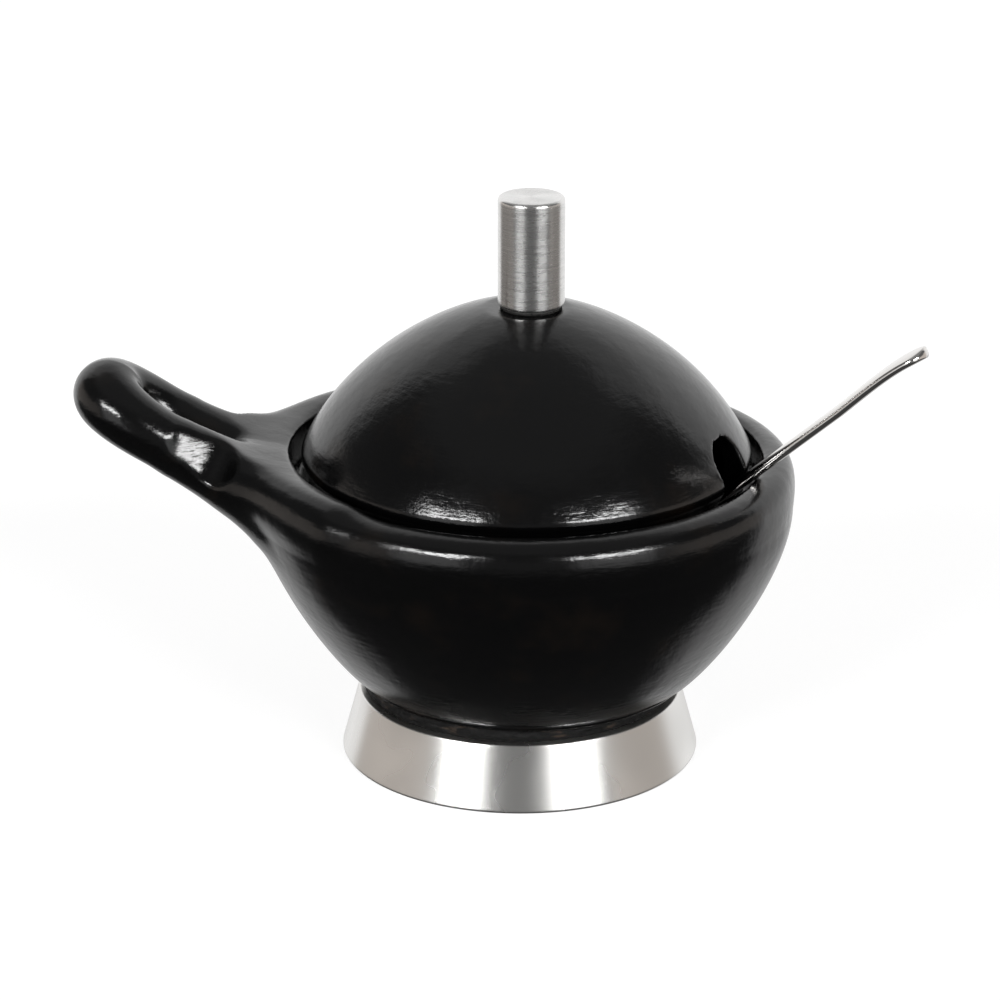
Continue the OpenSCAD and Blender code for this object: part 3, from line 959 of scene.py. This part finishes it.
def room_light(g, azimuth, elevation):
    """Dim room on the camera's side, warm panels beside the object, white sweep behind."""
    turned = g.math("ABSOLUTE", azimuth)
    front = g.mix(g.ramp(elevation, -22, -8, 0, 1), grey(0.055), grey(0.19))
    front = g.mix(g.ramp(elevation, 10, 20, 0, 1), front, grey(0.12))
    front = g.mix(g.ramp(elevation, 40, 58, 0, 1), front, grey(0.24))
    beside = g.both(g.ramp(turned, 56, 66, 0, 1), g.between(elevation, -8, 10, 8))
    front = g.mix(beside, front, (0.62, 0.57, 0.53))
    sweep = g.math("MAXIMUM", g.ramp(azimuth, 108, 122, 0, 1), g.ramp(azimuth, -136, -122, 1, 0))
    sweep = g.both(sweep, g.between(elevation, -46, 50, 14))
    back = g.mix(g.between(elevation, -12, 30, 14), grey(0.66), grey(1.0))
    return g.mix(sweep, front, back)


def studio_group():
    """Node group: a direction out of the object goes in, the studio's light comes out.

    Azimuth is counted from the camera's side, to the right.
    """
    tree = bpy.data.node_groups.new("studio", "ShaderNodeTree")
    tree.interface.new_socket("Direction", in_out="INPUT", socket_type="NodeSocketVector")
    tree.interface.new_socket("Light", in_out="OUTPUT", socket_type="NodeSocketColor")
    g = Graph(tree)
    outward = g.add("NodeGroupInput").outputs[0]
    unit = g.add("ShaderNodeVectorMath", {0: outward}, operation="NORMALIZE").outputs[0]
    x, y, z = g.add("ShaderNodeSeparateXYZ", {0: unit}).outputs
    degrees = math.degrees(1)
    azimuth = g.both(g.math("ARCTAN2", x, g.both(y, -1.0)), degrees)
    elevation = g.both(g.math("ARCSINE", z), degrees)
    light = room_light(g, azimuth, elevation)
    for left, right in SOFTBOXES:
        across = g.between(azimuth, left, right, 1.5)
        panel = g.both(across, g.between(elevation, -4, 14, 9))
        glow = g.both(across, g.between(elevation, SOFTBOX_FROM, SOFTBOX_TO, 1.5))
        light = g.mix(panel, light, grey(PANEL_LIGHT))
        light = g.mix(glow, light, grey(SOFTBOX_LIGHT))
    g.add("NodeGroupOutput", {0: light})
    return tree


def build_world(studio):
    """The studio all round, which the camera itself sees as plain white."""
    world = bpy.data.worlds.new("studio_world")
    bpy.context.scene.world = world
    world.use_nodes = True
    world.node_tree.nodes.clear()
    g = Graph(world.node_tree)
    outward = g.add("ShaderNodeTexCoord").outputs["Generated"]
    light = g.add("ShaderNodeGroup", node_tree=studio)
    g.feed(light.inputs[0], outward)
    colour = g.mix(g.is_ray("Camera"), light.outputs[0], grey(1.0))
    background = g.add("ShaderNodeBackground", {"Color": colour})
    g.add("ShaderNodeOutputWorld", {"Surface": background.outputs[0]})
    world.cycles.sampling_method = "MANUAL"
    world.cycles.sample_map_resolution = 1024


def floor_paper(studio):
    """Pale paper. In the object's polished surfaces it shows the studio instead."""
    glow = 1.3
    glow_share = 0.65
    material, g, coords = new_material("floor_paper")
    grain = g.noise(coords, 700.0, 3.0)
    white = g.mix(grain, grey(0.95), grey(0.92))
    lit = g.add("ShaderNodeBsdfDiffuse", {"Color": white})
    pale = g.add("ShaderNodeEmission", {"Color": white, "Strength": glow})
    share = g.both(g.is_ray("Camera"), glow_share)
    paper = g.add("ShaderNodeMixShader", {0: share, 1: lit.outputs[0], 2: pale.outputs[0]})
    incoming = g.add("ShaderNodeNewGeometry").outputs["Incoming"]
    outward = g.add("ShaderNodeVectorMath", {0: incoming, 1: (-1, -1, -1)}, operation="MULTIPLY")
    light = g.add("ShaderNodeGroup", node_tree=studio)
    g.feed(light.inputs[0], outward.outputs[0])
    mirror = g.add("ShaderNodeEmission", {"Color": light.outputs[0]})
    mixed = g.add("ShaderNodeMixShader", {0: g.is_ray("Glossy"), 1: paper.outputs[0],
                                          2: mirror.outputs[0]})
    g.add("ShaderNodeOutputMaterial", {"Surface": mixed.outputs[0]})
    return material


def build_floor(studio):
    reach = 4.0
    mesh = bpy.data.meshes.new("floor")
    corners = [(-reach, -reach, 0), (reach, -reach, 0), (reach, reach, 0), (-reach, reach, 0)]
    mesh.from_pydata(corners, [], [(0, 1, 2, 3)])
    mesh.materials.append(floor_paper(studio))
    floor = bpy.data.objects.new("floor", mesh)
    bpy.context.scene.collection.objects.link(floor)


def build_camera():
    """Camera on the -Y side, 800 mm away and a little above the object."""
    distance = 0.8
    width = 0.2
    elevation = math.radians(20.3)
    target = np.array([-0.00403, 0, 0.05238])
    away = np.array([0, -math.cos(elevation), math.sin(elevation)])
    lens = bpy.data.cameras.new("camera")
    lens.sensor_width = 36
    lens.lens = lens.sensor_width * distance / width
    lens.clip_start = 0.05
    lens.clip_end = 50
    camera = bpy.data.objects.new("camera", lens)
    camera.location = target + distance * away
    camera.rotation_euler = (math.pi / 2 - elevation, 0, 0)
    bpy.context.scene.collection.objects.link(camera)
    bpy.context.scene.camera = camera


# ---- Assembly ----------------------------------------------------------------

def dress_fixings(material):
    """Screw and washer keep their CAD shapes, and get their material."""
    for name in ("knob_washer", "knob_screw"):
        node = frame["nodes"][name]
        node.data.materials.clear()
        node.data.materials.append(material)


clay = black_clay()
build_bowl(clay)
build_lid(clay)
build_foot_ring(satin_metal())
build_bond(setting_compound())
build_knob(turned_metal())
build_cushion(soft_washer())
build_spoon(spoon_steel())
dress_fixings(fixing_steel())

studio = studio_group()
build_world(studio)
build_floor(studio)
build_camera()
bpy.context.scene.view_settings.view_transform = "Standard"
